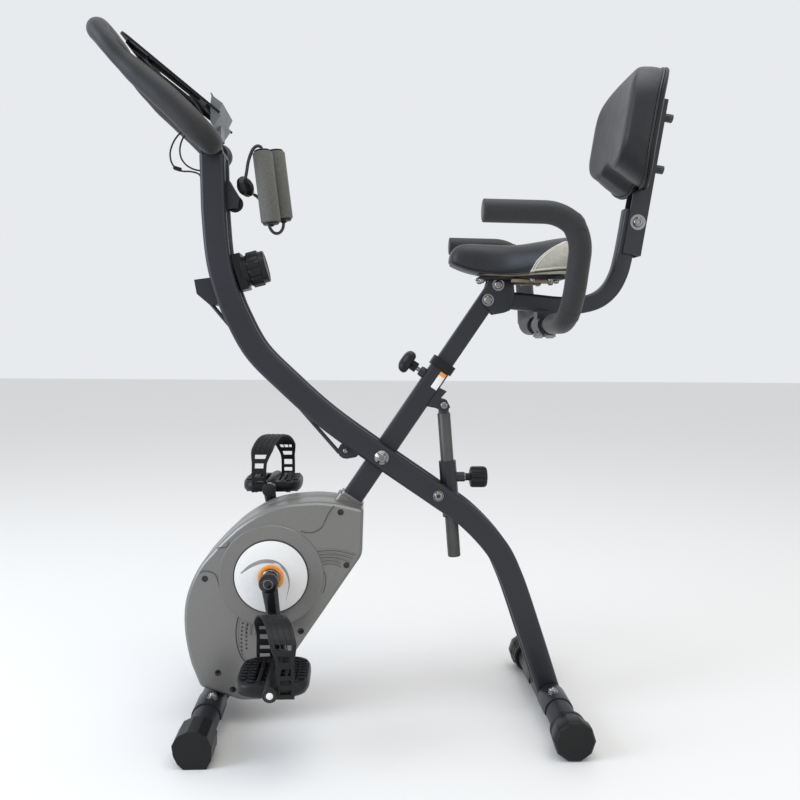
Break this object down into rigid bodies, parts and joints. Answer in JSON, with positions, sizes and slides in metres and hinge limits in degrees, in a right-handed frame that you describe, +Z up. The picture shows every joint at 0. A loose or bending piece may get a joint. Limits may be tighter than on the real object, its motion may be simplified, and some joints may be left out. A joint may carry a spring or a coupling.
{
  "type": "folding exercise bike",
  "caption": "Folding upright exercise bike with crossed frame, belt-driven flywheel housing, arm bands, backrest and side handles",
  "frame": {"origin": "On the floor under the middle of the overall length and width, measured without the free ropes and wires", "axes": "+Z up, +X from the handlebar towards the backrest, +Y to the rider's right as the rider faces the handlebar"},
  "size_m": [0.9456, 0.476, 1.1326],
  "materials": {
    "frame_paint": "satin black powder coat with fine texture",
    "black_plastic": "moulded black plastic, fine grain",
    "housing_plastic": "metallic grey moulded shell, semi gloss",
    "disc_plastic": "white moulded plastic",
    "console_plastic": "light grey moulded plastic",
    "steel": "zinc-plated steel",
    "cast_iron": "turned cast iron",
    "foam": "soft closed-cell foam sleeve",
    "handle_foam": "grey closed-cell foam sleeve",
    "leatherette": "grained black leatherette over foam",
    "rubber": "black rubber",
    "wire": "black cable sheath"
  },
  "bodies": {
    "main_post": {"main_post": "frame_paint", "post_collar": "black_plastic", "front_stabilizer": "frame_paint", "front_cap_near": "black_plastic", "front_cap_far": "black_plastic", "housing_near": "housing_plastic", "housing_far": "housing_plastic", "disc_cover_near": "disc_plastic", "disc_cover_far": "disc_plastic", "drive_belt": "rubber"},
    "crankset": {"crank_axle": "steel", "drive_pulley": "black_plastic", "crank_arm_near": "frame_paint", "crank_arm_far": "frame_paint"},
    "flywheel": {"flywheel": "cast_iron"},
    "magnet_yoke": {"magnet_yoke": "steel"},
    "pedal_near": {"pedal_near": "black_plastic", "pedal_strap_near": "rubber"},
    "pedal_far": {"pedal_far": "black_plastic", "pedal_strap_far": "rubber"},
    "transport_wheel_near": {"transport_wheel_near": "rubber"},
    "transport_wheel_far": {"transport_wheel_far": "rubber"},
    "seat_knob": {"seat_knob": "black_plastic"},
    "rear_frame": {"rail_near": "frame_paint", "rail_far": "frame_paint", "rear_stabilizer": "frame_paint", "rear_cap_near": "black_plastic", "rear_cap_far": "black_plastic", "pivot_bolt": "steel", "handlebar": "frame_paint", "grip_near": "foam", "grip_far": "foam", "console": "console_plastic", "tablet_tray": "black_plastic", "tension_housing": "black_plastic", "band_bracket_front": "frame_paint", "band_guide_lower": "frame_paint", "band_stopper": "black_plastic", "band_handle_a": "handle_foam", "band_handle_b": "handle_foam", "band_rope_a": "rubber", "band_rope_b": "rubber", "console_wire_a": "wire", "console_wire_b": "wire"},
    "tension_knob": {"tension_knob": "black_plastic"},
    "mode_button": {"mode_button": "disc_plastic"},
    "band_pulley_front": {"band_pulley_front": "black_plastic"},
    "band_pulley_rear": {"band_pulley_rear": "black_plastic"},
    "strut": {"strut": "frame_paint"},
    "strut_sleeve": {"strut_sleeve": "frame_paint"},
    "strut_knob": {"strut_knob": "black_plastic"},
    "seat": {"seat_post": "frame_paint", "seat_frame": "frame_paint", "saddle": "leatherette", "handle_bar": "frame_paint", "handle_grip_near": "foam", "handle_grip_far": "foam", "back_bracket": "frame_paint", "back_board": "black_plastic", "back_pad": "leatherette"}
  },
  "joints": [
    {"name": "fold", "type": "hinge", "parent": "main_post", "child": "rear_frame", "pos_m": [-0.0175, 0, 0.445], "axis": [0, 1, 0], "range_deg": [0, 39]},
    {"name": "seat_height", "type": "slide", "parent": "main_post", "child": "seat", "axis": [0.5563, 0, 0.831], "range_m": [-0.06, 0.04]},
    {"name": "seat_knob_pull", "type": "slide", "parent": "main_post", "child": "seat_knob", "axis": [-0.831, 0, 0.5563], "range_m": [0, 0.008], "stiffness_N_per_m": 800, "springref_m": -0.004},
    {"name": "strut_swing", "type": "hinge", "parent": "main_post", "child": "strut", "pos_m": [0.0873, 0, 0.531], "axis": [0, 1, 0], "range_deg": [0, 19.1]},
    {"name": "sleeve_swing", "type": "hinge", "parent": "rear_frame", "child": "strut_sleeve", "pos_m": [0.0777, 0, 0.3803], "axis": [0, 1, 0], "range_deg": [-20.6, 0]},
    {"name": "strut_knob_pull", "type": "slide", "parent": "strut_sleeve", "child": "strut_knob", "axis": [1, 0, 0], "range_m": [0, 0.008], "stiffness_N_per_m": 800, "springref_m": -0.004},
    {"name": "flywheel_spin", "type": "hinge", "parent": "main_post", "child": "flywheel", "pos_m": [-0.262, 0, 0.15], "axis": [0, 1, 0], "continuous": true},
    {"name": "crank_spin", "type": "hinge", "parent": "main_post", "child": "crankset", "pos_m": [-0.1985, 0, 0.251], "axis": [0, 1, 0], "continuous": true},
    {"name": "pedal_near_spin", "type": "hinge", "parent": "crankset", "child": "pedal_near", "pos_m": [-0.18084, -0.169, 0.13281], "axis": [0, 1, 0], "continuous": true},
    {"name": "pedal_far_spin", "type": "hinge", "parent": "crankset", "child": "pedal_far", "pos_m": [-0.21616, 0.169, 0.36919], "axis": [0, 1, 0], "continuous": true},
    {"name": "tension_turn", "type": "hinge", "parent": "rear_frame", "child": "tension_knob", "pos_m": [-0.277, 0, 0.7425], "axis": [0.9659, 0, 0.2588], "range_deg": [0, 300]},
    {"name": "magnet_swing", "type": "hinge", "parent": "main_post", "child": "magnet_yoke", "pos_m": [-0.269, 0.027, 0.069], "axis": [0, 1, 0], "range_deg": [0, 5.01]},
    {"name": "mode_button_press", "type": "slide", "parent": "rear_frame", "child": "mode_button", "axis": [-0.5862, 0, -0.8102], "range_m": [0, 0.002], "stiffness_N_per_m": 400, "springref_m": -0.001},
    {"name": "transport_wheel_near_spin", "type": "hinge", "parent": "main_post", "child": "transport_wheel_near", "pos_m": [-0.312, -0.176, 0.0205], "axis": [0, 1, 0], "continuous": true},
    {"name": "transport_wheel_far_spin", "type": "hinge", "parent": "main_post", "child": "transport_wheel_far", "pos_m": [-0.312, 0.176, 0.0205], "axis": [0, 1, 0], "continuous": true},
    {"name": "band_pulley_front_spin", "type": "hinge", "parent": "rear_frame", "child": "band_pulley_front", "pos_m": [-0.305, 0, 0.72], "axis": [0, 1, 0], "continuous": true},
    {"name": "band_pulley_rear_spin", "type": "hinge", "parent": "rear_frame", "child": "band_pulley_rear", "pos_m": [-0.262, 0, 0.862], "axis": [0, 1, 0], "continuous": true}
  ],
  "couplings": [
    {"joint": "strut_swing", "follows": "fold", "ratio": 0.4815},
    {"joint": "sleeve_swing", "follows": "fold", "ratio": -0.5185},
    {"joint": "crank_spin", "follows": "flywheel_spin", "ratio": 0.19367},
    {"joint": "magnet_swing", "follows": "tension_turn", "ratio": 0.016667}
  ]
}
